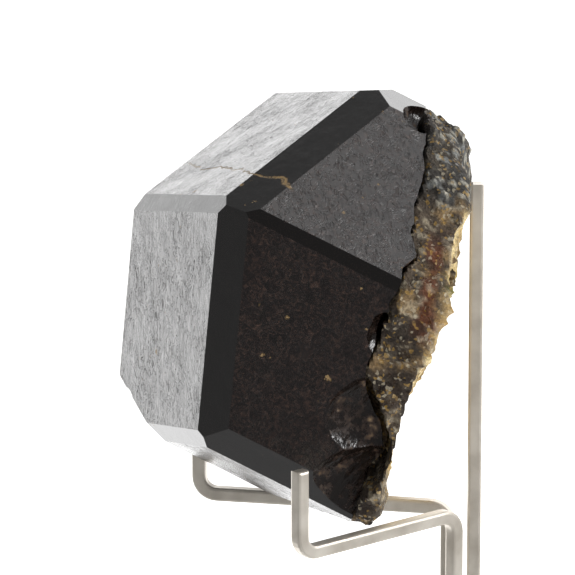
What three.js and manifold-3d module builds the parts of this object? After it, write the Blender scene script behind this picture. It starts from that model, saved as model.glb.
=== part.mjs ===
// A garnet crystal, broken across and still backed by its matrix rock,
// held on a display stand of square wire.
// Millimetres, +Z up. The arms of the stand point to -Y, and its feet stand on z = 0.
import * as THREE from "three";
import { ConvexGeometry } from "three/addons/geometries/ConvexGeometry.js";
import { mergeVertices } from "three/addons/utils/BufferGeometryUtils.js";
import Module from "manifold-3d";

// Crystal: distance from its centre to each rhombic face, by the face's indices on the crystal axes
const RHOMBIC_FACES = {
  left: { index: [-1, 0, 1], distance: 30.2 },
  top: { index: [0, 1, 1], distance: 29.8 },
  right: { index: [1, 0, 1], distance: 30.3 },
  front: { index: [0, -1, 1], distance: 30.4 },
  bottom: { index: [-1, -1, 0], distance: 30.2 },
  backLeft: { index: [-1, 1, 0], distance: 33.0 },
  backTop: { index: [1, 1, 0], distance: 28.2 },
  backBottom: { index: [-1, 0, -1], distance: 26.0 },
  back: { index: [0, 1, -1], distance: 27.0 },
  farRight: { index: [1, -1, 0], distance: 31.0 },
  farBottom: { index: [0, -1, -1], distance: 31.0 },
  farBack: { index: [1, 0, -1], distance: 31.0 },
};
// How deep the narrow bevel face between two rhombic faces cuts into their shared edge
const EDGE_BEVELS = [
  { pair: ["left", "top"], depth: 0.8 },
  { pair: ["top", "right"], depth: 1.85 },
  { pair: ["right", "front"], depth: 0.55 },
  { pair: ["front", "left"], depth: 1.6 },
  { pair: ["left", "bottom"], depth: 0.85 },
  { pair: ["front", "bottom"], depth: 1.8 },
  { pair: ["left", "backLeft"], depth: 0.65 },
  { pair: ["top", "backLeft"], depth: 1.3 },
  { pair: ["top", "backTop"], depth: 1.5 },
  { pair: ["right", "backTop"], depth: 2.0 },
  { pair: ["bottom", "backBottom"], depth: 4.85 },
  { pair: ["backLeft", "backBottom"], depth: 1.6 },
  { pair: ["backLeft", "back"], depth: 1.4 },
  { pair: ["backTop", "back"], depth: 1.5 },
  { pair: ["back", "backBottom"], depth: 1.7 },
];
// Turn of the crystal axes in the specimen's own frame: x right, y up, z to the viewer
const CRYSTAL_TURN_DEG = [-24.4, -27.8, 15.0];

// Break: a rough plane across the crystal, with its relief and the toe of garnet left below it
const BREAK_NORMAL = [0.908, -0.338, -0.246];
const BREAK_OFFSET = -5.2;
const BREAK_RELIEF = 1.5;
const BREAK_GRAIN = 7.5;
const TOE_RISE = 11;
const TOE_LEVEL = -9;
const TOE_RUN = 12;
const GROUND_HALF_SIZE = 42;
const GROUND_STEPS = 30;
const LID = 70;

// Shell-shaped chips out of the crystal along the break and at one corner: centre and half sizes
const CHIPS = [
  { centre: [3.5, -17.0, 30.0], half: [12.0, 8.0, 6.5] },
  { centre: [2.5, -27.0, 25.5], half: [13.5, 8.0, 7.0] },
  { centre: [3.0, -4.5, 32.0], half: [3.5, 5.0, 2.2] },
  { centre: [-36.0, -14.0, -8.5], half: [1.8, 2.6, 6.0] },
  { centre: [8.5, 28.0, 16.0], half: [3.5, 3.0, 5.0] },
];

// Matrix: rough rock between the break and an outer ground, its rim following the crystal's faces
const OUTER_NORMAL = [0.96, -0.278, 0.0];
const OUTER_OFFSET = 9.2;
const OUTER_RELIEF = 1.3;
const OUTER_GRAIN = 8.0;
const OUTER_SWELLS = [
  { level: 2, height: 1.6, run: 7 },
  { level: -14, height: -1.2, run: 5 },
];
const RIM_PROUD = -0.3;
const RIM_RELIEF = 1.0;
const RIM_GRAIN = 6.0;
const RIM_LEDGE = 0.9;
const RIM_DETAIL = 16;
const SHOULDER = { normal: [1, 0.02, 0.05], offset: 15.2 };
const CONTACT_GAP = 0.3;

// Stand: square wire with eased edges, two hooked arms, one upright and three feet
const WIRE = 2.0;
const WIRE_EASE = 0.4;
const BEND_RADIUS = 2.6;
const BEND_STEPS = 8;
const ARM_HEIGHT = 32;
const UPRIGHT_RISE = 48.4;
const ARMS = [
  { name: "near_arm_wire", stem: [1.65, -1.3], turnDeg: 26, reach: 29.5, hook: 12.0, foot: 40 },
  { name: "far_arm_wire", stem: [-1.65, -1.3], turnDeg: -26, reach: 37.0, hook: 5.7, foot: 40 },
];
const UPRIGHT_STEM = [0.2, 2.1];
const BACK_FOOT = 30;
const BACK_FOOT_TURN_DEG = 165.5;
const COLLAR = { width: 8.4, depth: 8.0, height: 9, base: 6.0, ease: 0.7, corner: 1.6 };

// Where the crystal's centre sits over the stand, and how the specimen is turned on it
const SPECIMEN_PLACE = [-15.1, -10.1, ARM_HEIGHT + 26.9];
const SPECIMEN_AZIMUTH_DEG = 75.5;
const SPECIMEN_LEAN_DEG = 15;

const wasm = await Module();
wasm.setup();

const materials = {
  garnet: new THREE.MeshStandardMaterial({ color: 0x1d1715, roughness: 0.18, metalness: 0 }),
  matrix: new THREE.MeshStandardMaterial({ color: 0x857250, roughness: 0.85, metalness: 0 }),
  wire: new THREE.MeshStandardMaterial({ color: 0xcfc6b8, roughness: 0.35, metalness: 1 }),
};

const vector = (values) => new THREE.Vector3(...values);
const unit = (values) => vector(values).normalize();

// Booleans: geometry to solid and back
function toSolid(geometry) {
  const bare = geometry.clone();
  bare.deleteAttribute("normal");
  bare.deleteAttribute("uv");
  const merged = mergeVertices(bare, 1e-4);
  const vertProperties = new Float32Array(merged.attributes.position.array);
  const triVerts = new Uint32Array(merged.index.array);
  return new wasm.Manifold(new wasm.Mesh({ numProp: 3, vertProperties, triVerts }));
}

function toGeometry(solid) {
  const mesh = solid.getMesh();
  const geometry = new THREE.BufferGeometry();
  geometry.setAttribute("position", new THREE.BufferAttribute(mesh.vertProperties, 3));
  geometry.setIndex(new THREE.BufferAttribute(mesh.triVerts, 1));
  const flat = geometry.toNonIndexed();
  flat.computeVertexNormals();
  return flat;
}

// Keeps the biggest of the loose bodies that a cut can leave
function largestBody(solid) {
  return solid.decompose().reduce((a, b) => (a.volume() > b.volume() ? a : b));
}

// Smooth value noise in -1..1 on a unit lattice, the same on every run
function lattice(x, y, z) {
  const s = Math.sin(x * 127.1 + y * 311.7 + z * 74.7) * 43758.5453;
  return 2 * (s - Math.floor(s)) - 1;
}

function noise(p) {
  const base = p.clone().floor();
  const f = p.clone().sub(base);
  const ease = (t) => t * t * (3 - 2 * t);
  const [u, v, w] = [ease(f.x), ease(f.y), ease(f.z)];
  let sum = 0;
  for (const [i, wx] of [[0, 1 - u], [1, u]])
    for (const [j, wy] of [[0, 1 - v], [1, v]])
      for (const [k, wz] of [[0, 1 - w], [1, w]])
        sum += wx * wy * wz * lattice(base.x + i, base.y + j, base.z + k);
  return sum;
}

// Two octaves of noise at a grain size
function roughness(p, grain) {
  return noise(p.clone().divideScalar(grain)) + 0.5 * noise(p.clone().divideScalar(grain / 2.3));
}

// The crystal's planes in the specimen frame: unit normal and distance from the crystal's centre
function crystalPlanes() {
  const turn = new THREE.Euler(...CRYSTAL_TURN_DEG.map(THREE.MathUtils.degToRad), "XYZ");
  const planes = Object.values(RHOMBIC_FACES).map(({ index, distance }) => ({
    normal: unit(index).applyEuler(turn),
    distance,
  }));
  for (const { pair, depth } of EDGE_BEVELS) {
    const [a, b] = pair.map((name) => RHOMBIC_FACES[name]);
    const sum = unit(a.index).add(unit(b.index));
    const edge = (a.distance + b.distance) / sum.length();
    planes.push({ normal: sum.normalize().applyEuler(turn), distance: edge - depth });
  }
  return planes;
}

// A convex body from planes: the corners are the meets of three planes that no other plane cuts off
function convexBody(planes) {
  const corners = [];
  const slack = 1e-6;
  for (let i = 0; i < planes.length; i++)
    for (let j = i + 1; j < planes.length; j++)
      for (let k = j + 1; k < planes.length; k++) {
        const [a, b, c] = [planes[i], planes[j], planes[k]];
        const bc = b.normal.clone().cross(c.normal);
        const det = a.normal.dot(bc);
        if (Math.abs(det) < 1e-4) continue;
        const ca = c.normal.clone().cross(a.normal);
        const ab = a.normal.clone().cross(b.normal);
        const corner = bc
          .multiplyScalar(a.distance)
          .addScaledVector(ca, b.distance)
          .addScaledVector(ab, c.distance)
          .divideScalar(det);
        if (planes.every((p) => p.normal.dot(corner) <= p.distance + slack)) corners.push(corner);
      }
  return new ConvexGeometry(corners);
}

// A ground's frame from its normal: u up the ground, v across it, w out of the crystal
function groundFrame(normal) {
  const w = unit(normal);
  const u = new THREE.Vector3(0, 1, 0).addScaledVector(w, -w.y).normalize();
  return { u, v: w.clone().cross(u), w };
}

// Height of the break over the crystal's centre: rough, rising to a toe of garnet at the foot
function breakHeight(u, v) {
  const p = new THREE.Vector3(u, v, 3.7);
  const toe = TOE_RISE * THREE.MathUtils.smoothstep(TOE_LEVEL - u, 0, TOE_RUN);
  return BREAK_OFFSET + BREAK_RELIEF * roughness(p, BREAK_GRAIN) + toe;
}

// Height of the matrix's outer ground: rough, with a swell and a dip along its length
function outerHeight(u, v) {
  const p = new THREE.Vector3(u, v, 8.2);
  const swell = OUTER_SWELLS.reduce(
    (sum, { level, height, run }) => sum + height * Math.exp(-(((u - level) / run) ** 2)),
    0,
  );
  return OUTER_OFFSET + OUTER_RELIEF * roughness(p, OUTER_GRAIN) + swell;
}

// The block between a rough ground and a flat lid at height w = lid, over or under it
function groundBlock(normal, height, lid) {
  const { u: axisU, v: axisV, w: axisW } = groundFrame(normal);
  const n = GROUND_STEPS + 1;
  const positions = [];
  const index = [];
  const place = (u, v, w) =>
    positions.push(
      ...new THREE.Vector3().addScaledVector(axisU, u).addScaledVector(axisV, v).addScaledVector(axisW, w),
    );
  for (const flat of [false, true])
    for (let i = 0; i < n; i++)
      for (let j = 0; j < n; j++) {
        const u = GROUND_HALF_SIZE * ((2 * i) / GROUND_STEPS - 1);
        const v = GROUND_HALF_SIZE * ((2 * j) / GROUND_STEPS - 1);
        place(u, v, flat ? lid : height(u, v));
      }
  const at = (i, j, flat) => flat * n * n + i * n + j;
  const quad = (a, b, c, d) => index.push(a, b, c, a, c, d);
  const e = GROUND_STEPS;
  for (let i = 0; i < e; i++)
    for (let j = 0; j < e; j++) {
      quad(at(i, j, 0), at(i, j + 1, 0), at(i + 1, j + 1, 0), at(i + 1, j, 0));
      quad(at(i, j, 1), at(i + 1, j, 1), at(i + 1, j + 1, 1), at(i, j + 1, 1));
    }
  for (let k = 0; k < e; k++) {
    quad(at(k, 0, 0), at(k + 1, 0, 0), at(k + 1, 0, 1), at(k, 0, 1));
    quad(at(k + 1, e, 0), at(k, e, 0), at(k, e, 1), at(k + 1, e, 1));
    quad(at(0, k + 1, 0), at(0, k, 0), at(0, k, 1), at(0, k + 1, 1));
    quad(at(e, k, 0), at(e, k + 1, 0), at(e, k + 1, 1), at(e, k, 1));
  }
  const geometry = new THREE.BufferGeometry();
  geometry.setAttribute("position", new THREE.Float32BufferAttribute(positions, 3));
  geometry.setIndex(index);
  return toSolid(lid > height(0, 0) ? geometry : flipped(geometry));
}

function flipped(geometry) {
  const turned = geometry.clone();
  const ids = [...geometry.index.array];
  for (let i = 0; i < ids.length; i += 3) [ids[i], ids[i + 1]] = [ids[i + 1], ids[i]];
  return turned.setIndex(ids);
}

function chipSolid({ centre, half }) {
  const ball = new THREE.IcosahedronGeometry(1, 4).scale(...half);
  return toSolid(ball.translate(...centre));
}

// The room above the stand's arms, in the specimen frame
function roomAboveArms() {
  const size = 4 * GROUND_HALF_SIZE;
  const room = new THREE.BoxGeometry(size, size, size);
  room.translate(0, 0, size / 2 + ARM_HEIGHT + WIRE / 2 + CONTACT_GAP - SPECIMEN_PLACE[2]);
  return toSolid(room.rotateX(THREE.MathUtils.degToRad(SPECIMEN_LEAN_DEG - 90)));
}

function garnetGeometry(planes) {
  let solid = toSolid(convexBody(planes));
  solid = solid.subtract(groundBlock(BREAK_NORMAL, breakHeight, LID)).intersect(roomAboveArms());
  for (const chip of CHIPS) solid = solid.subtract(chipSolid(chip));
  return toGeometry(largestBody(solid));
}

// The matrix: a lumpy body like the crystal's own outline, kept between the break and the outer ground
function matrixGeometry(planes) {
  const bounds = planes.map((p) => ({ normal: p.normal, offset: p.distance + RIM_PROUD }));
  bounds.push({ normal: unit(SHOULDER.normal), offset: SHOULDER.offset });
  const ball = mergeVertices(bareIcosphere(RIM_DETAIL), 1e-5);
  const points = ball.attributes.position;
  for (let i = 0; i < points.count; i++) {
    const ray = new THREE.Vector3().fromBufferAttribute(points, i).normalize();
    const facing = bounds.filter(({ normal }) => normal.dot(ray) > 1e-3);
    const reach = Math.min(...facing.map(({ normal, offset }) => offset / normal.dot(ray)));
    const p = ray.clone().multiplyScalar(reach);
    const lumps = RIM_RELIEF * roughness(p, RIM_GRAIN);
    const ledges = RIM_LEDGE * Math.round(1.6 * noise(p.clone().divideScalar(9)));
    points.setXYZ(i, ...ray.multiplyScalar(reach + lumps + ledges));
  }
  const overBreak = groundBlock(BREAK_NORMAL, (u, v) => breakHeight(u, v) + CONTACT_GAP, LID);
  const underOuter = groundBlock(OUTER_NORMAL, outerHeight, -LID);
  const solid = toSolid(ball).intersect(overBreak).intersect(underOuter).intersect(roomAboveArms());
  return toGeometry(largestBody(solid));
}

function bareIcosphere(detail) {
  const ball = new THREE.IcosahedronGeometry(1, detail);
  ball.deleteAttribute("normal");
  ball.deleteAttribute("uv");
  return ball;
}

// One bent wire: the outline of a band along a polyline with round bends, extruded to the wire's width.
// Points are [out, up] in the wire's upright plane.
function wireGeometry(points) {
  const half = WIRE / 2 - WIRE_EASE;
  const path = points.map((p) => new THREE.Vector2(...p));
  const left = [];
  const right = [];
  const station = (p, across) => {
    left.push(p.clone().addScaledVector(across, half));
    right.unshift(p.clone().addScaledVector(across, -half));
  };
  const leftOf = (along) => new THREE.Vector2(-along.y, along.x);
  path.forEach((p, i) => {
    const a = i > 0 ? p.clone().sub(path[i - 1]).normalize() : null;
    const b = i < path.length - 1 ? path[i + 1].clone().sub(p).normalize() : null;
    if (!a || !b) {
      station(p, leftOf(a ?? b));
      return;
    }
    const turn = Math.sign(a.cross(b));
    const sweep = a.angleTo(b);
    const setback = BEND_RADIUS * Math.tan(sweep / 2);
    const centre = p.clone().addScaledVector(a, -setback).addScaledVector(leftOf(a), turn * BEND_RADIUS);
    for (let k = 0; k <= BEND_STEPS; k++) {
      const along = a.clone().rotateAround(new THREE.Vector2(), (turn * sweep * k) / BEND_STEPS);
      const across = leftOf(along);
      station(centre.clone().addScaledVector(across, -turn * BEND_RADIUS), across);
    }
  });
  const geometry = new THREE.ExtrudeGeometry(new THREE.Shape([...left, ...right]), {
    depth: WIRE - 2 * WIRE_EASE,
    bevelEnabled: true,
    bevelThickness: WIRE_EASE,
    bevelSize: WIRE_EASE,
    bevelSegments: 2,
  });
  // out along +X, up along +Z, the wire's width centred on its plane
  return geometry.translate(0, 0, WIRE_EASE - WIRE / 2).rotateX(Math.PI / 2);
}

const FOOT_LEVEL = WIRE / 2;

function armWire({ name, stem, turnDeg, reach, hook, foot }) {
  const outline = [
    [reach, ARM_HEIGHT + hook],
    [reach, ARM_HEIGHT],
    [0, ARM_HEIGHT],
    [0, FOOT_LEVEL],
    [foot, FOOT_LEVEL],
  ];
  return placedWire(name, outline, stem, turnDeg - 90);
}

function uprightWire() {
  const outline = [
    [0, ARM_HEIGHT + UPRIGHT_RISE],
    [0, FOOT_LEVEL],
    [BACK_FOOT, FOOT_LEVEL],
  ];
  return placedWire("upright_wire", outline, UPRIGHT_STEM, BACK_FOOT_TURN_DEG);
}

function placedWire(name, outline, stem, turnDeg) {
  const wire = new THREE.Mesh(wireGeometry(outline), materials.wire);
  wire.name = name;
  wire.position.set(stem[0], stem[1], 0);
  wire.rotation.z = THREE.MathUtils.degToRad(turnDeg);
  return wire;
}

// The brazed collar that joins the three stems: a rounded block with one square hole for each wire
function collarMesh() {
  const { width, depth, height, base, ease, corner } = COLLAR;
  const shape = new THREE.Shape();
  const x = width / 2 - ease;
  const y = depth / 2 - ease;
  shape.moveTo(-x + corner, -y);
  shape.absarc(x - corner, -y + corner, corner, -Math.PI / 2, 0, false);
  shape.absarc(x - corner, y - corner, corner, 0, Math.PI / 2, false);
  shape.absarc(-x + corner, y - corner, corner, Math.PI / 2, Math.PI, false);
  shape.absarc(-x + corner, -y + corner, corner, Math.PI, 1.5 * Math.PI, false);
  const block = new THREE.ExtrudeGeometry(shape, {
    depth: height - 2 * ease,
    curveSegments: 5,
    bevelEnabled: true,
    bevelThickness: ease,
    bevelSize: ease,
    bevelSegments: 2,
  });
  block.translate(0, 0, base + ease);
  let solid = toSolid(block);
  const stems = [...ARMS.map((arm) => [arm.stem, arm.turnDeg]), [UPRIGHT_STEM, BACK_FOOT_TURN_DEG]];
  for (const [stem, turnDeg] of stems) {
    const hole = new THREE.BoxGeometry(WIRE + 2 * CONTACT_GAP, WIRE + 2 * CONTACT_GAP, 4 * height);
    hole.rotateZ(THREE.MathUtils.degToRad(turnDeg)).translate(stem[0], stem[1], base);
    solid = solid.subtract(toSolid(hole));
  }
  const collar = new THREE.Mesh(toGeometry(solid), materials.wire);
  collar.name = "brazed_collar";
  return collar;
}

// The crystal and its matrix, in the viewer's frame, then turned on the stand
function specimenGroup() {
  const planes = crystalPlanes();
  const garnet = new THREE.Mesh(garnetGeometry(planes), materials.garnet);
  garnet.name = "garnet_crystal";
  const matrix = new THREE.Mesh(matrixGeometry(planes), materials.matrix);
  matrix.name = "matrix_rock";
  const leaning = new THREE.Group();
  leaning.rotation.x = THREE.MathUtils.degToRad(90 - SPECIMEN_LEAN_DEG);
  leaning.add(garnet, matrix);
  const specimen = new THREE.Group();
  specimen.rotation.z = THREE.MathUtils.degToRad(SPECIMEN_AZIMUTH_DEG);
  specimen.position.set(...SPECIMEN_PLACE);
  specimen.add(leaning);
  return specimen;
}

// Moves the whole part so that the middle of its footprint stands on the origin
function centred(group) {
  const box = new THREE.Box3().setFromObject(group, true);
  const middle = box.getCenter(new THREE.Vector3());
  group.position.set(-middle.x, -middle.y, -box.min.z);
  const part = new THREE.Group();
  part.add(group);
  return part;
}

const assembly = new THREE.Group();
assembly.add(...ARMS.map(armWire), uprightWire(), collarMesh(), specimenGroup());

export default centred(assembly);
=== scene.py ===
"""Looks of a garnet crystal in its matrix on a wire stand, laid out as a Blender add-on.

The specimen is worked out in its own frame, in millimetres: x right, y up, z to the viewer, with the
crystal's centre as the origin. specimen_to_row() turns it on the stand.
"""

import math

import bpy
import numpy as np
from mathutils import Matrix, Vector


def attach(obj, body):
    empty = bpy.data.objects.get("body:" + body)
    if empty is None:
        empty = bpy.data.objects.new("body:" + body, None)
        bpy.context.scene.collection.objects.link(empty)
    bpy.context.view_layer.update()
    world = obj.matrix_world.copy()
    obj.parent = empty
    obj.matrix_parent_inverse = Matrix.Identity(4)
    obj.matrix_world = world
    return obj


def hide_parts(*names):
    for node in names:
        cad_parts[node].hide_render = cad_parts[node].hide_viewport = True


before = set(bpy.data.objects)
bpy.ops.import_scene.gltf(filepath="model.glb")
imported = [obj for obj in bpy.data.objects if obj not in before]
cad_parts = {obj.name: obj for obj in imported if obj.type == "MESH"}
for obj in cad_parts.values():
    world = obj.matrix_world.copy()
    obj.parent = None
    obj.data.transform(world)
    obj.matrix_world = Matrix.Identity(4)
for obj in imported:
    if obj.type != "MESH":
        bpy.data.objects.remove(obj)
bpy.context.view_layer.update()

bl_info = {
    "name": "Garnet in matrix",
    "version": (1, 0, 0),
    "blender": (4, 5, 0),
    "location": "View3D > Sidebar > Specimen",
    "description": "Builds a bevelled garnet crystal, its matrix rock, its stand's finish and a studio",
    "category": "Object",
}

MM = 0.001

# Crystal: rhombic faces by index with their distance from the centre, and how deep each edge is bevelled
RHOMBIC_FACES = {
    "left": ((-1, 0, 1), 30.2),
    "top": ((0, 1, 1), 29.8),
    "right": ((1, 0, 1), 30.3),
    "front": ((0, -1, 1), 30.4),
    "bottom": ((-1, -1, 0), 30.2),
    "back_left": ((-1, 1, 0), 33.0),
    "back_top": ((1, 1, 0), 28.2),
    "back_bottom": ((-1, 0, -1), 26.0),
    "back": ((0, 1, -1), 27.0),
    "far_right": ((1, -1, 0), 31.0),
    "far_bottom": ((0, -1, -1), 31.0),
    "far_back": ((1, 0, -1), 31.0),
}
EDGE_BEVELS = (
    ("left", "top", 0.8),
    ("top", "right", 1.85),
    ("right", "front", 0.55),
    ("front", "left", 1.6),
    ("left", "bottom", 0.85),
    ("front", "bottom", 1.8),
    ("left", "back_left", 0.65),
    ("top", "back_left", 1.3),
    ("top", "back_top", 1.5),
    ("right", "back_top", 2.0),
    ("bottom", "back_bottom", 4.85),
    ("back_left", "back_bottom", 1.6),
    ("back_left", "back", 1.4),
    ("back_top", "back", 1.5),
    ("back", "back_bottom", 1.7),
)
CRYSTAL_TURN_DEG = (-24.4, -27.8, 15.0)
FACE_STEP = 0.8
EDGE_FADE = 1.2
PLATEAU_SIZE, PLATEAU_STEPS = 6.5, 2.5
GROWTH_GRAIN = 2.6
CRYSTAL_CREASE_DEG = 18.0
FRACTURE_SLOT = 2

# Break across the crystal, and the shell-shaped chips along its rim
BREAK_NORMAL = (0.908, -0.338, -0.246)
BREAK_OFFSET = -5.2
BREAK_RELIEF = 1.5
BREAK_GRAIN = 7.5
BREAK_FINE, BREAK_FINE_GRAIN = 0.35, 2.2
TOE_RISE, TOE_LEVEL, TOE_RUN = 8.0, -9.0, 12.0
GROUND_HALF_SIZE = 42.0
GROUND_STEP = 0.7
LID = 70.0
CHIPS = (
    ((3.5, -17.0, 30.0), (12.0, 8.0, 6.5)),
    ((2.5, -27.0, 25.5), (13.5, 8.0, 7.0)),
    ((3.0, -4.5, 32.0), (3.5, 5.0, 2.2)),
    ((-36.0, -14.0, -8.5), (1.8, 2.6, 6.0)),
    ((8.5, 28.0, 16.0), (3.5, 3.0, 5.0)),
)
CHIP_RIPPLE, CHIP_RIPPLE_GRAIN = 0.22, 2.0

# Matrix: outer ground with its swells, and how far the rim stands off the crystal's faces
OUTER_NORMAL = (0.96, -0.278, 0.0)
OUTER_OFFSET = 9.2
OUTER_SWELLS = ((2.0, 1.6, 7.0), (-14.0, -1.2, 5.0))
RIM_PROUD = -0.3
SHOULDER = ((1.0, 0.02, 0.05), 15.2)
MATRIX_CENTRE = (1.5, -3.0, -4.0)
MATRIX_ROWS, MATRIX_COLUMNS = 210, 420
MATRIX_ROUNDING = 0.7
MATRIX_SINK = 0.5
RIM_TUCK = 8.0
ROCK_LUMP, ROCK_LEDGE, ROCK_GRAIN, ROCK_FINE_GRAIN = 8.0, 5.5, 2.4, 0.95
ROCK_CREASE_DEG = 40.0

# Stand: the specimen's place on it
ARM_TOP = 33.3
SPECIMEN_ORIGIN = (-1.112, 6.051, 58.9)
SPECIMEN_AZIMUTH_DEG = 75.5
SPECIMEN_LEAN_DEG = 15.0

# Camera, in the specimen frame
CAMERA_PLACE = (-11.48, 3.18, 764.4)
CAMERA_LENS = 327.3
SENSOR = 36.0

# A yellow-filled crack: its plane and how far it runs across the picture
CRACK_NORMAL = (0.326, 0.944, -0.037)
CRACK_OFFSET = 11.8
CRACK_SPAN = (-26.5, -10.5)
CRACK_BACK = -8.0
CRACK_BEND = 2.1

# Finishes and light
GARNET_IOR = 1.89
TENT_LIGHT = ((0.0, 0.85), (0.08, 0.95), (0.15, 1.0), (0.3, 0.17), (0.42, 0.11), (0.65, 0.05), (1.0, 0.04))
TENT_STRENGTH = 2.5
FLAG_STRENGTH = 1.35
FLOOR_HALF = 4.0

# Lamps: name, direction in the specimen frame, distance and size in metres, watts, and mirrored or not
LAMPS = (
    ("side_lamp", (0.9, 0.35, 0.45), 0.7, 0.35, 2.6, True),
    ("top_lamp", (0.43, 0.873, 0.229), 0.7, 0.4, 0.45, True),
    ("fill_lamp", (0.5, 0.15, 0.85), 0.8, 0.4, 2.5, False),
)

# Short names of Blender's node kinds
MATH, VECTOR, RANGE, MIX = "ShaderNodeMath", "ShaderNodeVectorMath", "ShaderNodeMapRange", "ShaderNodeMix"
NOISE, CELLS, RAMP = "ShaderNodeTexNoise", "ShaderNodeTexVoronoi", "ShaderNodeValToRGB"
PLACE, TURNED, BUMP = "ShaderNodeTexCoord", "ShaderNodeMapping", "ShaderNodeBump"
SURFACE, OUTPUT = "ShaderNodeBsdfPrincipled", "ShaderNodeOutputMaterial"


def linear(code):
    """Turns an sRGB hex code into linear RGBA."""
    channels = [int(code[i : i + 2], 16) / 255 for i in (0, 2, 4)]
    return (*[c / 12.92 if c <= 0.04045 else ((c + 0.055) / 1.055) ** 2.4 for c in channels], 1.0)


def unit(values):
    """Scales a vector, or each row of an array, to length one."""
    values = np.asarray(values, float)
    return values / np.linalg.norm(values, axis=-1, keepdims=True)


def specimen_axes():
    """The specimen's right, up and viewer axes as rows, in the row's frame."""
    azimuth = math.radians(SPECIMEN_AZIMUTH_DEG)
    lean = math.radians(SPECIMEN_LEAN_DEG)
    right = np.array([math.cos(azimuth), math.sin(azimuth), 0])
    level = np.array([math.sin(azimuth), -math.cos(azimuth), 0])
    rise = np.array([0, 0, 1.0])
    up = math.cos(lean) * rise - math.sin(lean) * level
    viewer = math.cos(lean) * level + math.sin(lean) * rise
    return np.array([right, up, viewer])


def specimen_to_row(points):
    """Turns specimen points, in millimetres, into row points in metres."""
    return (np.asarray(points, float) @ specimen_axes() + np.array(SPECIMEN_ORIGIN)) * MM


def smoothstep(values, low, high):
    """Eases from 0 at low to 1 at high."""
    t = np.clip((values - low) / (high - low), 0, 1)
    return t * t * (3 - 2 * t)


def lattice(cell):
    """A fixed value in -1..1 for each whole-number cell."""
    s = np.sin(cell @ np.array([127.1, 311.7, 74.7])) * 43758.5453
    return 2 * (s - np.floor(s)) - 1


def value_noise(points):
    """Smooth noise in -1..1: the eight lattice values around a point, blended with eased weights."""
    base = np.floor(points)
    part = points - base
    ease = part * part * (3 - 2 * part)
    total = np.zeros(len(points))
    for corner in np.ndindex(2, 2, 2):
        weight = np.prod(np.where(np.array(corner) == 1, ease, 1 - ease), axis=1)
        total += weight * lattice(base + np.array(corner))
    return total


def fractal(points, grain, octaves, gain=0.5, step=2.3):
    """Octaves of value noise, each finer by step and weaker by gain."""
    return sum(gain**k * value_noise(points * step**k / grain) for k in range(octaves))


def cells(points, grain):
    """Distance to the nearest of one jittered seed in each cell, and that cell's own value in -1..1."""
    scaled = points / grain
    base = np.floor(scaled)
    nearest = np.full(len(points), 9.0)
    value = np.zeros(len(points))
    for offset in np.ndindex(3, 3, 3):
        cell = base + np.array(offset) - 1
        jitter = np.stack([lattice(cell + shift) for shift in (17.0, 43.0, 71.0)], axis=1)
        gap = np.linalg.norm(cell + 0.5 + 0.42 * jitter - scaled, axis=1)
        closer = gap < nearest
        nearest = np.where(closer, gap, nearest)
        value = np.where(closer, lattice(cell + 5.0), value)
    return nearest, value


def crystal_planes():
    """Unit normals, distances and names of all faces, in the specimen frame."""
    turn = np.array(euler_matrix(CRYSTAL_TURN_DEG))
    names, normals, distances = [], [], []
    for name, (index, distance) in RHOMBIC_FACES.items():
        names.append(name)
        normals.append(turn @ unit(index))
        distances.append(distance)
    for first, second, depth in EDGE_BEVELS:
        total = unit(RHOMBIC_FACES[first][0]) + unit(RHOMBIC_FACES[second][0])
        edge = (RHOMBIC_FACES[first][1] + RHOMBIC_FACES[second][1]) / np.linalg.norm(total)
        names.append(f"{first}_{second}_bevel")
        normals.append(turn @ unit(total))
        distances.append(edge - depth)
    return names, np.array(normals), np.array(distances)


def euler_matrix(degrees):
    """Rotation about x, y and z, applied to a vector in the order z, y, x."""
    turns = [Matrix.Rotation(math.radians(d), 3, axis) for d, axis in zip(degrees, "XYZ")]
    return turns[0] @ turns[1] @ turns[2]


def face_corners(normals, distances, face):
    """Corners of one face, in order: its meets with two other planes that no plane cuts off."""
    corners = []
    others = [i for i in range(len(normals)) if i != face]
    for k, i in enumerate(others):
        for j in others[k + 1 :]:
            trio = normals[[face, i, j]]
            if abs(np.linalg.det(trio)) < 1e-4:
                continue
            corner = np.linalg.solve(trio, distances[[face, i, j]])
            if np.all(normals @ corner <= distances + 1e-6):
                corners.append(corner)
    if len(corners) < 3:
        return None
    corners = np.array(corners)
    middle = corners.mean(axis=0)
    across = unit(corners[0] - middle)
    along = np.cross(normals[face], across)
    angle = np.arctan2((corners - middle) @ along, (corners - middle) @ across)
    corners = corners[np.argsort(angle)]
    gaps = np.linalg.norm(corners - np.roll(corners, 1, axis=0), axis=1)
    return corners[gaps > 1e-5]


def outline_points(corners):
    """Even samples along each side of a face, the same from both faces that share the side."""
    points = []
    for a, b in zip(corners, np.roll(corners, -1, axis=0)):
        count = max(1, round(np.linalg.norm(b - a) / FACE_STEP))
        points.append(a + np.arange(count)[:, None] / count * (b - a))
    return np.concatenate(points)


def face_grid(corners, normal, relief):
    """A face as rings from its middle to its outline, with growth relief that fades out at the outline.

    Parameter one runs from the middle (0) to the outline (1), parameter two along the outline.
    """
    rim = outline_points(corners)
    middle = corners.mean(axis=0)
    rings = max(2, round(np.linalg.norm(rim - middle, axis=1).max() / FACE_STEP))
    share = np.linspace(0, 1, rings + 1)[1:, None, None]
    points = np.concatenate([middle[None], (middle + share * (rim - middle)).reshape(-1, 3)])
    inset = edge_distance(points, corners, normal)
    plateaus = np.round(PLATEAU_STEPS * value_noise(points / PLATEAU_SIZE)) / PLATEAU_STEPS
    height = 0.5 * plateaus + fractal(points, GROWTH_GRAIN, 3)
    points = points + normal * (relief * height * smoothstep(inset, 0.15, EDGE_FADE))[:, None]
    return points, fan_faces(len(rim), rings)


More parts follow.
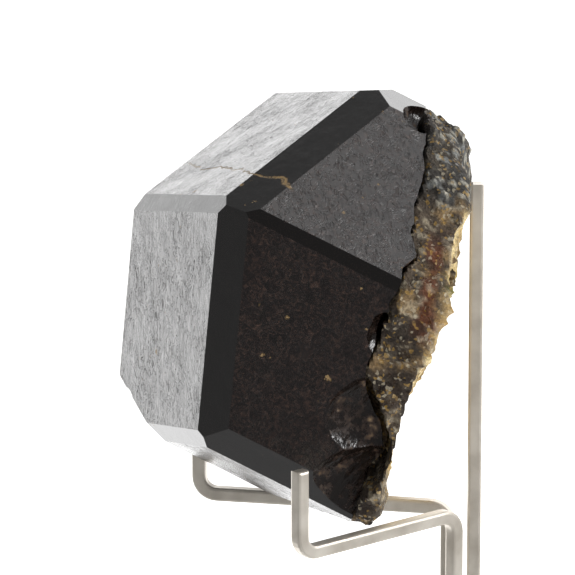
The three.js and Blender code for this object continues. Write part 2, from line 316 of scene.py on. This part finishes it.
def fan_faces(count, rings):
    """Faces of rings of points around one middle point: a fan of triangles, then bands of quads."""
    around = np.arange(count)
    after = np.roll(around, -1)
    fan = np.stack([np.zeros(count, int), 1 + around, 1 + after], axis=1)
    low = 1 + count * np.arange(rings - 1)[:, None]
    bands = np.stack([low + around, low + count + around, low + count + after, low + after], axis=-1)
    return fan.tolist() + bands.reshape(-1, 4).tolist()


def edge_distance(points, corners, normal):
    """Distance of each point from the nearest side of a face."""
    nearest = np.full(len(points), np.inf)
    for a, b in zip(corners, np.roll(corners, -1, axis=0)):
        inward = np.cross(normal, unit(b - a))
        nearest = np.minimum(nearest, (points - a) @ inward)
    return np.maximum(nearest, 0)


def mesh_object(name, points, faces):
    """A mesh object at the origin from row points in metres."""
    mesh = bpy.data.meshes.new(name)
    mesh.from_pydata(points, [], faces)
    mesh.validate()
    mesh.update()
    piece = bpy.data.objects.new(name, mesh)
    bpy.context.scene.collection.objects.link(piece)
    return piece


def ground_frame(normal):
    """Axes of a ground: up it, across it and out of it."""
    out = unit(normal)
    up = unit(np.array([0, 1, 0]) - out[1] * out)
    return up, np.cross(out, up), out


def break_height(u, v):
    """Height of the break: rough ground with a toe of garnet at its foot and fine ripples."""
    at = np.stack([u, v, np.full_like(u, 3.7)], axis=1)
    toe = TOE_RISE * smoothstep(TOE_LEVEL - u, 0, TOE_RUN)
    coarse = BREAK_RELIEF * fractal(at, BREAK_GRAIN, 2)
    return BREAK_OFFSET + coarse + toe + BREAK_FINE * fractal(at, BREAK_FINE_GRAIN, 3)


def break_block():
    """Everything beyond the break: a grid of the break's height, closed by a flat lid."""
    up, across, out = ground_frame(BREAK_NORMAL)
    n = int(2 * GROUND_HALF_SIZE / GROUND_STEP) + 1
    line = np.linspace(-GROUND_HALF_SIZE, GROUND_HALF_SIZE, n)
    u, v = (g.ravel() for g in np.meshgrid(line, line, indexing="ij"))
    flat = np.outer(u, up) + np.outer(v, across)
    points = np.concatenate([flat + np.outer(break_height(u, v), out), flat + LID * out])
    at = np.arange(n * n).reshape(n, n)
    a, b, c, d = at[:-1, :-1], at[:-1, 1:], at[1:, 1:], at[1:, :-1]
    ground = np.stack([a, b, c, d], axis=-1).reshape(-1, 4)
    lid = ground[:, ::-1] + n * n
    loop = np.concatenate([at[:-1, 0], at[-1, :-1], at[:0:-1, -1], at[0, :0:-1]])
    after = np.roll(loop, -1)
    walls = np.stack([loop, after, after + n * n, loop + n * n], axis=1)
    faces = np.concatenate([ground, lid, walls]).tolist()
    return mesh_object("break_block", specimen_to_row(points), faces)


def chip_body(centre, half):
    """A shell-shaped chip: an ellipsoid on a latitude and longitude grid, with faint ripples."""
    rows, columns = 24, 40
    tilt = np.linspace(0, math.pi, rows + 1)[1:-1]
    turn = np.linspace(0, 2 * math.pi, columns, endpoint=False)
    tilts, turns = (g.ravel() for g in np.meshgrid(tilt, turn, indexing="ij"))
    ball = np.stack([np.sin(tilts) * np.cos(turns), np.sin(tilts) * np.sin(turns), np.cos(tilts)], axis=1)
    ball = np.concatenate([[[0, 0, 1]], ball, [[0, 0, -1]]])
    points = np.array(centre) + ball * np.array(half)
    points = points + ball * (CHIP_RIPPLE * fractal(points, CHIP_RIPPLE_GRAIN, 2))[:, None]
    return points, ball_faces(rows, columns)


def ball_faces(rows, columns):
    """Faces of a latitude and longitude grid with one point at each pole."""
    last = 1 + (rows - 1) * columns
    ring = last - columns + np.arange(columns)
    close = np.stack([ring, np.full(columns, last), np.roll(ring, -1)], axis=1)
    return fan_faces(columns, rows - 1) + close.tolist()


def cut(piece, tool):
    """Takes a tool out of a piece, keeping the tool's material numbers on the cut, and drops the tool."""
    step = piece.modifiers.new("cut", "BOOLEAN")
    step.operation = "DIFFERENCE"
    step.solver = "MANIFOLD"
    step.object = tool
    graph = bpy.context.evaluated_depsgraph_get()
    result = bpy.data.meshes.new_from_object(piece.evaluated_get(graph))
    piece.modifiers.remove(step)
    old = piece.data
    piece.data = result
    bpy.data.meshes.remove(old)
    bpy.data.objects.remove(tool)


def rest_on_arms(piece):
    """Flattens what would sink into the stand's arms."""
    mesh = piece.data
    flat = np.empty(3 * len(mesh.vertices))
    mesh.vertices.foreach_get("co", flat)
    points = flat.reshape(-1, 3)
    points[:, 2] = np.maximum(points[:, 2], ARM_TOP * MM)
    mesh.vertices.foreach_set("co", points.ravel())
    mesh.update()


def shade(piece, angle_deg):
    """Smooth shading, with edges sharper than an angle kept sharp."""
    piece.data.polygons.foreach_set("use_smooth", [True] * len(piece.data.polygons))
    piece.data.set_sharp_from_angle(angle=math.radians(angle_deg))


def merged(points, faces, kinds, digits=5):
    """Joins points that are in one place, renumbers the faces, and drops faces that closed up."""
    _, first, number = np.unique(np.round(points, digits), axis=0, return_index=True, return_inverse=True)
    number = number.ravel()
    joined = [[int(number[i]) for i in face] for face in faces]
    open_faces = [k for k, face in enumerate(joined) if len(set(face)) == len(face)]
    return points[first], [joined[k] for k in open_faces], [kinds[k] for k in open_faces]


def build_crystal(relief):
    """The whole crystal from its face grids, before it is broken."""
    names, normals, distances = crystal_planes()
    points, faces, kinds, count = [], [], [], 0
    for face, name in enumerate(names):
        corners = face_corners(normals, distances, face)
        if corners is None:
            continue
        bevel = name.endswith("bevel")
        grid, quads = face_grid(corners, normals[face], 0.2 * relief if bevel else relief)
        kinds.extend([int(bevel)] * len(quads))
        points.append(grid)
        faces.extend([[count + i for i in quad] for quad in quads])
        count += len(grid)
    points, faces, kinds = merged(np.concatenate(points), faces, kinds)
    piece = mesh_object("garnet", specimen_to_row(points), faces)
    piece.data.polygons.foreach_set("material_index", kinds)
    return piece


def matrix_bounds():
    """Planes that hold the matrix in: the crystal's faces, the shoulder, the outer ground and the break."""
    _, normals, distances = crystal_planes()
    extra = [unit(SHOULDER[0]), unit(OUTER_NORMAL), -unit(BREAK_NORMAL)]
    offsets = [SHOULDER[1], OUTER_OFFSET, MATRIX_SINK - BREAK_OFFSET]
    return np.concatenate([normals, extra]), np.concatenate([distances + RIM_PROUD, offsets])


def matrix_grid():
    """The matrix as rays from its centre on a latitude and longitude grid.

    A ray's length is the soft least of its lengths to the bounding planes; each point also gets the soft
    normal of those planes and the share that the outer ground has in it.
    """
    tilt = np.linspace(0, math.pi, MATRIX_ROWS + 1)[1:-1]
    turn = np.linspace(0, 2 * math.pi, MATRIX_COLUMNS, endpoint=False)
    tilts, turns = (g.ravel() for g in np.meshgrid(tilt, turn, indexing="ij"))
    rays = np.stack([np.sin(tilts) * np.sin(turns), np.cos(tilts), np.sin(tilts) * np.cos(turns)], axis=1)
    rays = np.concatenate([[[0, 1, 0]], rays, [[0, -1, 0]]])
    normals, offsets = matrix_bounds()
    centre = np.array(MATRIX_CENTRE)
    facing = rays @ normals.T
    lengths = (offsets - normals @ centre) / np.maximum(facing, 1e-3)
    lengths = np.where(facing > 1e-3, lengths, 1e3)
    least = lengths.min(axis=1, keepdims=True)
    weights = np.exp((least - lengths) / MATRIX_ROUNDING)
    total = weights.sum(axis=1, keepdims=True)
    reach = least - MATRIX_ROUNDING * np.log(total)
    share = weights / total
    return centre + rays * reach, unit(share @ normals), share[:, -2], share[:, -1]


def build_matrix(relief, crust_colour):
    """The matrix rock: its grid pushed out by lumps, ledges and grains, with its colours as an attribute."""
    points, normals, outer, inner = matrix_grid()
    up = ground_frame(OUTER_NORMAL)[0]
    level = points @ up
    swell = sum(height * np.exp(-(((level - at) / run) ** 2)) for at, height, run in OUTER_SWELLS)
    near, grain_value = cells(points, ROCK_GRAIN)
    fine, fine_value = cells(points, ROCK_FINE_GRAIN)
    lumps = 0.9 * fractal(points, ROCK_LUMP, 4) + 0.45 * grain_value * (1 - near)
    ledges = 0.5 * np.round(1.8 * value_noise(points / ROCK_LEDGE))
    grains = 0.28 * (0.6 - fine) + 0.1 * fine_value
    height = relief * (lumps + ledges + grains) + swell * outer
    height = np.where(inner > 0.5, np.minimum(height, 0.2), height)
    points = points + normals * (height - RIM_TUCK * under_break(points))[:, None]
    piece = mesh_object("matrix", specimen_to_row(points), ball_faces(MATRIX_ROWS, MATRIX_COLUMNS))
    colours = matrix_colours(points, outer, grain_value, fine_value, (*crust_colour, 1.0))
    layer = piece.data.attributes.new("rock_colour", "FLOAT_COLOR", "POINT")
    layer.data.foreach_set("color", colours.ravel())
    return piece


def under_break(points):
    """How far each point lies under the break, from 0 above it to 1 inside the garnet."""
    up, across, out = ground_frame(BREAK_NORMAL)
    depth = break_height(points @ up, points @ across) - points @ out
    return smoothstep(depth, -0.4, 1.2)


def mix(colours, code, amount):
    """Moves rows of colours towards one hex colour by an amount for each row."""
    return colours + (np.array(linear(code)) - colours) * np.clip(amount, 0, 1)[:, None]


def matrix_colours(points, outer, grain_value, fine_value, crust_colour):
    """Rock colours: dark granular rim, tan crust on the outer side, a rusty vein, olive and pale grains."""
    x, y, _ = points.T
    broad = fractal(points, 6.0, 3)
    patch = fractal(points + 31.0, 2.6, 3)
    colours = np.tile(np.array(linear("4a3f33")), (len(points), 1))
    colours = mix(colours, "2b2826", smoothstep(broad, -0.1, 0.5))
    colours = mix(colours, "7d6645", smoothstep(patch, 0.15, 0.6) * 0.8)
    crust = smoothstep(outer + 0.35 * broad, 0.25, 0.75) * smoothstep(y, -30, -20) * smoothstep(-y, -18, -11)
    colours = colours + (np.array(crust_colour) - colours) * (0.9 * crust)[:, None]
    colours = mix(colours, "d9c590", crust * smoothstep(patch, 0.0, 0.5))
    colours = mix(colours, "8a7a5c", crust * smoothstep(-patch, 0.2, 0.6))
    upper = smoothstep(y, 13, 18)
    colours = mix(colours, "34322f", upper * 0.85)
    colours = mix(colours, "8f9494", upper * smoothstep(fine_value, 0.55, 0.8) * 0.7)
    vein = np.abs(x - 8.5 - 0.18 * (y - 2.8)) + 0.8 * patch
    rusty = smoothstep(-np.abs(vein), -1.7, -0.6) * smoothstep(y, -6, -3) * smoothstep(-y, -12, -8)
    colours = mix(colours, "5f331a", rusty * 0.85)
    olive = smoothstep(-np.hypot(x - 11.8, y - 3.6), -2.4, -1.0) * smoothstep(grain_value, -0.2, 0.3)
    colours = mix(colours, "6d6a26", olive)
    colours = mix(colours, "c9bda2", smoothstep(fine_value, 0.72, 0.85) * 0.3)
    # Patchy darker brown on the rock wherever it lies inside one of the crystal's chips
    for centre, half in CHIPS:
        inside = np.linalg.norm((points - np.array(centre)) / np.array(half), axis=1)
        chip_darkening = 0.85 * smoothstep(-inside, -1.15, -0.95) * smoothstep(patch, -0.5, -0.1)
        colours = mix(colours, "2a211b", chip_darkening)
    return mix(colours, "1d1916", smoothstep(-grain_value, 0.7, 0.85) * 0.6)


def add_node(tree, kind, settings=None, inputs=None):
    """Adds a node, sets its properties, sets or links its inputs, and gives its outputs."""
    node = tree.nodes.new(kind)
    for key, value in (settings or {}).items():
        setattr(node, key, value)
    for key, value in (inputs or {}).items():
        if isinstance(value, bpy.types.NodeSocket):
            tree.links.new(value, node.inputs[key])
        else:
            node.inputs[key].default_value = value
    return node.outputs


def span(low, high, to_low, to_high):
    """The four ends of a range that is mapped to another range."""
    return {"From Min": low, "From Max": high, "To Min": to_low, "To Max": to_high}


def set_stops(outputs, stops):
    """Puts (place, colour) stops on a ramp and gives its colour."""
    elements = outputs[0].node.color_ramp.elements
    while len(elements) < len(stops):
        elements.new(0.5)
    for element, (place, colour) in zip(elements, stops):
        element.position = place
        element.color = colour
    return outputs["Color"]


def per(size_mm):
    """A pattern's scale on coordinates in metres, from the size of one of its grains in millimetres."""
    return 1 / (size_mm * MM)


def turn_to(way):
    """The turn that lays a pattern's long axis along a direction of the row."""
    return Vector(way).to_track_quat("Z", "Y").to_euler()


def new_material(name):
    """An empty node material, its node tree and its coordinates on the piece."""
    material = bpy.data.materials.new(name)
    material.use_nodes = True
    tree = material.node_tree
    tree.nodes.clear()
    return material, tree, add_node(tree, PLACE)["Object"]


def finish(tree, inputs):
    """A principled surface with these inputs, joined to the output."""
    surface = add_node(tree, SURFACE, None, inputs)
    add_node(tree, OUTPUT, None, {"Surface": surface["BSDF"]})


def crack_mask(tree, place, wander):
    """One where a thin crack plane, bent by a noise, meets the surface inside its span, else zero."""
    axes = specimen_axes()
    origin = np.array(SPECIMEN_ORIGIN)
    normal = np.array(CRACK_NORMAL) @ axes
    level = (CRACK_OFFSET + normal @ origin) * MM
    along = add_node(tree, VECTOR, {"operation": "DOT_PRODUCT"}, {0: place, 1: tuple(normal)})["Value"]
    off = add_node(tree, MATH, {"operation": "SUBTRACT"}, {0: along, 1: level})[0]
    sway = CRACK_BEND * MM
    bend = add_node(tree, RANGE, None, {"Value": wander, **span(0.0, 1.0, -sway, sway)})[0]
    bent = add_node(tree, MATH, {"operation": "ADD"}, {0: off, 1: bend})[0]
    gap = add_node(tree, MATH, {"operation": "ABSOLUTE"}, {0: bent})[0]
    mask = add_node(tree, RANGE, None, {"Value": gap, **span(0.09 * MM, 0.24 * MM, 1.0, 0.0)})[0]
    limits = ((axes[0], CRACK_SPAN[0], 1), (axes[0], CRACK_SPAN[1], -1), (axes[2], CRACK_BACK, 1))
    for axis, end, sign in limits:
        way = add_node(tree, VECTOR, {"operation": "DOT_PRODUCT"}, {0: place, 1: tuple(axis)})["Value"]
        edge = (end + axis @ origin) * MM
        inside = add_node(tree, RANGE, None, {"Value": way, **span(edge, edge + sign * MM, 0.0, 1.0)})[0]
        mask = add_node(tree, MATH, {"operation": "MULTIPLY"}, {0: mask, 1: inside})[0]
    return mask


def garnet_material(name, colour, etching):
    """Almandine garnet as it grew: near-black red-brown with a glassy lustre.

    The eye sees fine wormy etching, growth lines and pits in the reflections of the faces, a few yellow
    specks and one filled crack. On the bevels the etching is left out, and they shine like glass.
    """
    material, tree, place = new_material(name)
    axes = specimen_axes()
    lines_turn = turn_to(unit(axes[1] * 0.97 + axes[0] * 0.2))
    worm = add_node(
        tree, NOISE, None,
        {"Vector": place, "Scale": per(1.0), "Detail": 5.0, "Roughness": 0.62, "Distortion": 1.8},
    )["Fac"]
    blotch = add_node(tree, NOISE, None, {"Vector": place, "Scale": per(7.7), "Detail": 4.0})["Fac"]
    long_lines = add_node(
        tree, TURNED, {"vector_type": "TEXTURE"},
        {"Vector": place, "Rotation": lines_turn, "Scale": (1, 1, 14)},
    )[0]
    lines = add_node(
        tree, NOISE, None, {"Vector": long_lines, "Scale": per(0.67), "Detail": 3.0, "Roughness": 0.6}
    )["Fac"]
    long_pits = add_node(
        tree, TURNED, {"vector_type": "TEXTURE"},
        {"Vector": place, "Rotation": lines_turn, "Scale": (1, 1, 2.0)},
    )[0]
    pits = add_node(
        tree, NOISE, None,
        {"Vector": long_pits, "Scale": per(1.15), "Detail": 4.0, "Roughness": 0.58, "Distortion": 0.8},
    )["Fac"]
    from_middle = add_node(tree, MATH, {"operation": "SUBTRACT"}, {0: pits, 1: 0.5})[0]
    from_track = add_node(tree, MATH, {"operation": "ABSOLUTE"}, {0: from_middle})[0]
    tracks = add_node(tree, RANGE, None, {"Value": from_track, **span(0.006, 0.03, 0.75, 0.0)})[0]
    holes = add_node(tree, RANGE, None, {"Value": pits, **span(0.61, 0.66, 0.0, 1.0)})[0]
    deep = add_node(tree, MATH, {"operation": "MAXIMUM"}, {0: tracks, 1: holes})[0]
    often = add_node(tree, RANGE, None, {"Value": blotch, **span(0.35, 0.6, 0.4, 1.0)})[0]
    pit = add_node(tree, MATH, {"operation": "MULTIPLY"}, {0: deep, 1: often})[0]
    speck_cells = add_node(tree, CELLS, {"feature": "F1"}, {"Vector": place, "Scale": per(3.3)})
    chance = add_node(
        tree, VECTOR, {"operation": "DOT_PRODUCT"}, {0: speck_cells["Color"], 1: (1, 0, 0)}
    )["Value"]
    reach = add_node(tree, RANGE, None, {"Value": chance, **span(0.9, 1.0, 0.0, 0.17)})[0]
    ragged = add_node(tree, MATH, {"operation": "MULTIPLY"}, {0: worm, 1: 0.45})[0]
    far = add_node(tree, MATH, {"operation": "ADD"}, {0: speck_cells["Distance"], 1: ragged})[0]
    near = add_node(tree, MATH, {"operation": "SUBTRACT"}, {0: reach, 1: far})[0]
    specks = add_node(tree, RANGE, None, {"Value": near, **span(-0.28, -0.22, 0.0, 0.75)})[0]
    crack = crack_mask(tree, place, blotch)
    patchy = add_node(tree, RANGE, None, {"Value": worm, **span(0.42, 0.56, 0.25, 1.0)})[0]
    filled = add_node(tree, MATH, {"operation": "MULTIPLY"}, {0: crack, 1: patchy})[0]
    soil = add_node(tree, MATH, {"operation": "MAXIMUM"}, {0: specks, 1: filled})[0]
    shown = add_node(tree, RANGE, None, {"Value": worm, **span(0.0, 1.0, 0.0, 0.55 + 0.45 * etching)})[0]
    body = set_stops(
        add_node(tree, RAMP, None, {"Fac": shown}),
        [(0.3, linear("0a0706")), (0.5, (*colour, 1.0)), (0.64, linear("2f211b")), (0.8, linear("4c3931"))],
    )
    stained = add_node(tree, MIX, {"data_type": "RGBA"}, {0: soil, 6: body, 7: linear("9a7b45")})[2]
    polish = add_node(
        tree, RANGE, None, {"Value": blotch, **span(0.3, 0.7, 0.08 + 0.05 * etching, 0.12 + 0.18 * etching)}
    )[0]
    dull_pit = add_node(tree, MATH, {"operation": "MULTIPLY"}, {0: pit, 1: 0.62 * etching})[0]
    dull_soil = add_node(tree, MATH, {"operation": "MULTIPLY"}, {0: soil, 1: 0.7})[0]
    dull = add_node(tree, MATH, {"operation": "MAXIMUM"}, {0: dull_pit, 1: dull_soil})[0]
    rough = add_node(tree, MATH, {"operation": "MAXIMUM"}, {0: polish, 1: dull})[0]
    height = add_node(tree, MATH, {"operation": "MULTIPLY_ADD"}, {0: lines, 1: 0.7, 2: worm})[0]
    cut_in = add_node(tree, MATH, {"operation": "MULTIPLY_ADD"}, {0: crack, 1: -1.1, 2: height})[0]
    etched = add_node(tree, MATH, {"operation": "MULTIPLY_ADD"}, {0: pit, 1: -0.8, 2: cut_in})[0]
    bump = add_node(
        tree, BUMP, None, {"Strength": 0.06 + 0.36 * etching, "Distance": 0.16 * MM, "Height": etched}
    )["Normal"]
    finish(tree, {"Base Color": stained, "Roughness": rough, "IOR": GARNET_IOR, "Normal": bump})
    return material


def fracture_material():
    """Garnet broken across its grain: glassy and dark, with fine ripples and tan dust in the hollows."""
    material, tree, place = new_material("garnet_fracture")
    axes = specimen_axes()
    ripple_turn = turn_to(unit(axes[1] * 0.8 + axes[0] * 0.6))
    long_ripples = add_node(
        tree, TURNED, {"vector_type": "TEXTURE"},
        {"Vector": place, "Rotation": ripple_turn, "Scale": (1, 1, 6.7)},
    )[0]
    ripple = add_node(
        tree, NOISE, None, {"Vector": long_ripples, "Scale": per(1.4), "Detail": 4.0, "Roughness": 0.6}
    )["Fac"]
    dust = add_node(
        tree, NOISE, None, {"Vector": place, "Scale": per(2.4), "Detail": 6.0, "Roughness": 0.7}
    )["Fac"]
    colour = set_stops(
        add_node(tree, RAMP, None, {"Fac": dust}),
        [
            (0.48, linear("130e0c")),
            (0.58, linear("2a1d16")),
            (0.66, linear("70593f")),
            (0.78, linear("b39a6e")),
        ],
    )
    rough = add_node(tree, RANGE, None, {"Value": dust, **span(0.5, 0.66, 0.16, 0.75)})[0]
    bump = add_node(tree, BUMP, None, {"Strength": 0.6, "Distance": 0.6 * MM, "Height": ripple})["Normal"]
    finish(tree, {"Base Color": colour, "Roughness": rough, "IOR": GARNET_IOR, "Normal": bump})
    return material


def rock_material():
    """Mica schist, broken rough: its own colours, sandy grain, pale and gold flecks, a few mica glints."""
    material, tree, place = new_material("mica_schist")
    colours = add_node(tree, "ShaderNodeAttribute", {"attribute_name": "rock_colour"})["Color"]
    sand = add_node(
        tree, NOISE, None, {"Vector": place, "Scale": per(0.53), "Detail": 5.0, "Roughness": 0.75}
    )["Fac"]
    tone = add_node(tree, RANGE, None, {"Value": sand, **span(0.3, 0.72, 0.45, 1.75)})[0]
    tinted = add_node(tree, VECTOR, {"operation": "SCALE"}, {0: colours, "Scale": tone})["Vector"]
    flakes = add_node(tree, CELLS, {"feature": "F1"}, {"Vector": place, "Scale": per(0.43)})
    shown = tinted
    for channel, colour, most in (((1, 0, 0), "cfc4aa", 0.35), ((0, 0, 1), "a98640", 0.5)):
        chance = add_node(
            tree, VECTOR, {"operation": "DOT_PRODUCT"}, {0: flakes["Color"], 1: channel}
        )["Value"]
        fleck = add_node(tree, RANGE, None, {"Value": chance, **span(0.9, 0.94, 0.0, most)})[0]
        shown = add_node(tree, MIX, {"data_type": "RGBA"}, {0: fleck, 6: shown, 7: linear(colour)})[2]
    chance = add_node(
        tree, VECTOR, {"operation": "DOT_PRODUCT"}, {0: flakes["Color"], 1: (0, 1, 0)}
    )["Value"]
    rough = add_node(tree, RANGE, None, {"Value": chance, **span(0.88, 0.94, 0.82, 0.16)})[0]
    grain = add_node(tree, MATH, {"operation": "MULTIPLY_ADD"}, {0: flakes["Distance"], 1: 0.6, 2: sand})[0]
    bump = add_node(tree, BUMP, None, {"Strength": 0.75, "Distance": 0.5 * MM, "Height": grain})["Normal"]
    finish(tree, {"Base Color": shown, "Roughness": rough, "IOR": 1.6, "Normal": bump})
    return material


def nickel_material(colour):
    """Nickel plate on drawn steel wire, satin: warm pale metal, faint drawing lines, handling marks."""
    material, tree, place = new_material("satin_nickel_plate")
    long_lines = add_node(
        tree, TURNED, {"vector_type": "TEXTURE"}, {"Vector": place, "Scale": (1, 1, 33)}
    )[0]
    drawn = add_node(tree, NOISE, None, {"Vector": long_lines, "Scale": per(0.38), "Detail": 3.0})["Fac"]
    marks = add_node(tree, NOISE, None, {"Vector": place, "Scale": per(4.2), "Detail": 5.0})["Fac"]
    shown = set_stops(
        add_node(tree, RAMP, None, {"Fac": marks}),
        [(0.3, linear("c4bcb0")), (0.55, (*colour, 1.0)), (0.75, linear("e2dcd2"))],
    )
    rough = add_node(tree, RANGE, None, {"Value": marks, **span(0.3, 0.7, 0.32, 0.46)})[0]
    bump = add_node(tree, BUMP, None, {"Strength": 0.12, "Distance": 0.1 * MM, "Height": drawn})["Normal"]
    finish(tree, {"Base Color": shown, "Metallic": 0.6, "Roughness": rough, "Normal": bump})
    return material


def paper_material():
    """Studio paper, lit from below: plain and pale."""
    material, tree, place = new_material("studio_paper")
    fibre = add_node(tree, NOISE, None, {"Vector": place, "Scale": per(11.0), "Detail": 4.0})["Fac"]
    colour = set_stops(
        add_node(tree, RAMP, None, {"Fac": fibre}), [(0.3, linear("f4f4f3")), (0.7, linear("fafaf9"))]
    )
    finish(
        tree, {"Base Color": colour, "Roughness": 0.9, "Emission Color": colour, "Emission Strength": 0.85}
    )
    return material


def build_world():
    """A white light tent, open and dim on the side of the viewer and flagged off at the upper left."""
    world = bpy.data.worlds.new("light_tent")
    world.use_nodes = True
    tree = world.node_tree
    tree.nodes.clear()
    way = add_node(tree, PLACE)["Generated"]
    axes = specimen_axes()
    side = add_node(tree, VECTOR, {"operation": "DOT_PRODUCT"}, {0: way, 1: tuple(axes[2])})["Value"]
    share = add_node(tree, RANGE, None, {"Value": side, **span(-1.0, 1.0, 0.0, 1.0)})[0]
    light = set_stops(
        add_node(tree, RAMP, None, {"Fac": share}),
        [(at, (grey, grey, grey, 1.0)) for at, grey in TENT_LIGHT],
    )
    corner = tuple(unit([-1.0, 1.0, 0.0]) @ axes)
    flag = add_node(tree, VECTOR, {"operation": "DOT_PRODUCT"}, {0: way, 1: corner})["Value"]
    strength = add_node(
        tree, RANGE, None, {"Value": flag, **span(0.47, 0.57, TENT_STRENGTH, FLAG_STRENGTH)}
    )[0]
    glow = add_node(tree, "ShaderNodeBackground", None, {"Color": light, "Strength": strength})
    add_node(tree, "ShaderNodeOutputWorld", None, {"Surface": glow["Background"]})
    bpy.context.scene.world = world


def build_lamp(name, way, distance, size, energy, mirrored):
    """A soft square lamp in a direction of the specimen frame, aimed at it, mirrored in it or not."""
    data = bpy.data.lights.new(name, "AREA")
    data.size = size
    data.energy = energy
    lamp = bpy.data.objects.new(name, data)
    back = unit(np.array(way) @ specimen_axes())
    right = unit(np.cross([0, 0, 1], back))
    turn = Matrix(np.stack([right, np.cross(back, right), back], axis=1).tolist()).to_4x4()
    middle = specimen_to_row([[0, 0, 0]])[0]
    lamp.matrix_world = Matrix.Translation(middle + back * distance) @ turn
    lamp.visible_glossy = mirrored
    bpy.context.scene.collection.objects.link(lamp)


def build_camera():
    """The viewer's camera, level with the specimen's own frame."""
    data = bpy.data.cameras.new("camera")
    data.lens = CAMERA_LENS
    data.sensor_width = SENSOR
    data.clip_end = 20.0
    camera = bpy.data.objects.new("camera", data)
    turn = Matrix(specimen_axes().T.tolist()).to_4x4()
    camera.matrix_world = Matrix.Translation(specimen_to_row([CAMERA_PLACE])[0]) @ turn
    bpy.context.scene.collection.objects.link(camera)
    bpy.context.scene.camera = camera


class SpecimenSettings(bpy.types.PropertyGroup):
    """What may be changed before the pieces are built."""

    face_relief: bpy.props.FloatProperty(
        name="Face relief",
        description="Height of the growth relief on the crystal's faces",
        default=0.05 * MM,
        min=0.0,
        max=0.3 * MM,
        precision=6,
        unit="LENGTH",
    )
    rock_relief: bpy.props.FloatProperty(
        name="Rock relief",
        description="Strength of the rock's lumps and grains",
        default=1.0,
        min=0.0,
        max=2.0,
        subtype="FACTOR",
    )
    garnet_colour: bpy.props.FloatVectorProperty(
        name="Garnet",
        description="Body colour of the garnet",
        default=linear("181110")[:3],
        subtype="COLOR",
    )
    crust_colour: bpy.props.FloatVectorProperty(
        name="Crust",
        description="Colour of the rock's outer crust",
        default=linear("b89a62")[:3],
        subtype="COLOR",
    )
    nickel_colour: bpy.props.FloatVectorProperty(
        name="Nickel",
        description="Colour of the stand's plating",
        default=linear("d8d1c6")[:3],
        subtype="COLOR",
    )


class SPECIMEN_OT_garnet(bpy.types.Operator):
    """Builds the garnet crystal with its break and chips"""

    bl_idname = "specimen.garnet"
    bl_label = "Garnet"

    def execute(self, context):
        settings = context.scene.specimen
        looks = (
            garnet_material("garnet_faces", settings.garnet_colour, 1.0),
            garnet_material("garnet_bevels", settings.garnet_colour, 0.0),
            fracture_material(),
        )
        piece = build_crystal(settings.face_relief / MM)
        tools = [break_block()]
        for centre, half in CHIPS:
            points, quads = chip_body(centre, half)
            tools.append(mesh_object("chip", specimen_to_row(points), quads))
        for body in (piece, *tools):
            for look in looks:
                body.data.materials.append(look)
        for tool in tools:
            tool.data.polygons.foreach_set("material_index", [FRACTURE_SLOT] * len(tool.data.polygons))
            cut(piece, tool)
        rest_on_arms(piece)
        shade(piece, CRYSTAL_CREASE_DEG)
        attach(piece, "root")
        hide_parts("garnet_crystal")
        return {"FINISHED"}


class SPECIMEN_OT_matrix(bpy.types.Operator):
    """Builds the matrix rock on the break"""

    bl_idname = "specimen.matrix"
    bl_label = "Matrix"

    def execute(self, context):
        settings = context.scene.specimen
        piece = build_matrix(settings.rock_relief, settings.crust_colour)
        piece.data.materials.append(rock_material())
        rest_on_arms(piece)
        shade(piece, ROCK_CREASE_DEG)
        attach(piece, "root")
        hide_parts("matrix_rock")
        return {"FINISHED"}


class SPECIMEN_OT_stand(bpy.types.Operator):
    """Gives the stand's wires and collar their finish"""

    bl_idname = "specimen.stand"
    bl_label = "Stand finish"

    def execute(self, context):
        nickel = nickel_material(context.scene.specimen.nickel_colour)
        for name in ("near_arm_wire", "far_arm_wire", "upright_wire", "brazed_collar"):
            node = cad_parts[name]
            for slot in node.material_slots:
                slot.material = nickel
        return {"FINISHED"}


class SPECIMEN_OT_stage(bpy.types.Operator):
    """Sets the floor, the light tent and the camera"""

    bl_idname = "specimen.stage"
    bl_label = "Stage"

    def execute(self, context):
        half = FLOOR_HALF
        corners = [(-half, -half, 0), (half, -half, 0), (half, half, 0), (-half, half, 0)]
        floor = mesh_object("floor", corners, [(0, 1, 2, 3)])
        floor.data.materials.append(paper_material())
        floor.visible_glossy = False
        build_world()
        for lamp in LAMPS:
            build_lamp(*lamp)
        build_camera()
        context.scene.view_settings.view_transform = "Standard"
        return {"FINISHED"}


class SPECIMEN_PT_panel(bpy.types.Panel):
    """The specimen's buttons in the sidebar"""

    bl_label = "Garnet in matrix"
    bl_space_type = "VIEW_3D"
    bl_region_type = "UI"
    bl_category = "Specimen"

    def draw(self, context):
        settings = context.scene.specimen
        for name in ("face_relief", "rock_relief", "garnet_colour", "crust_colour", "nickel_colour"):
            self.layout.prop(settings, name)
        for operator in (SPECIMEN_OT_garnet, SPECIMEN_OT_matrix, SPECIMEN_OT_stand, SPECIMEN_OT_stage):
            self.layout.operator(operator.bl_idname)


CLASSES = (
    SpecimenSettings,
    SPECIMEN_OT_garnet,
    SPECIMEN_OT_matrix,
    SPECIMEN_OT_stand,
    SPECIMEN_OT_stage,
    SPECIMEN_PT_panel,
)


def register():
    """Adds the classes and the scene's settings."""
    for item in CLASSES:
        bpy.utils.register_class(item)
    bpy.types.Scene.specimen = bpy.props.PointerProperty(type=SpecimenSettings)


def unregister():
    """Takes the settings and classes away again."""
    del bpy.types.Scene.specimen
    for item in reversed(CLASSES):
        bpy.utils.unregister_class(item)


def main():
    register()
    bpy.ops.specimen.garnet()
    bpy.ops.specimen.matrix()
    bpy.ops.specimen.stand()
    bpy.ops.specimen.stage()


if __name__ == "__main__":
    main()
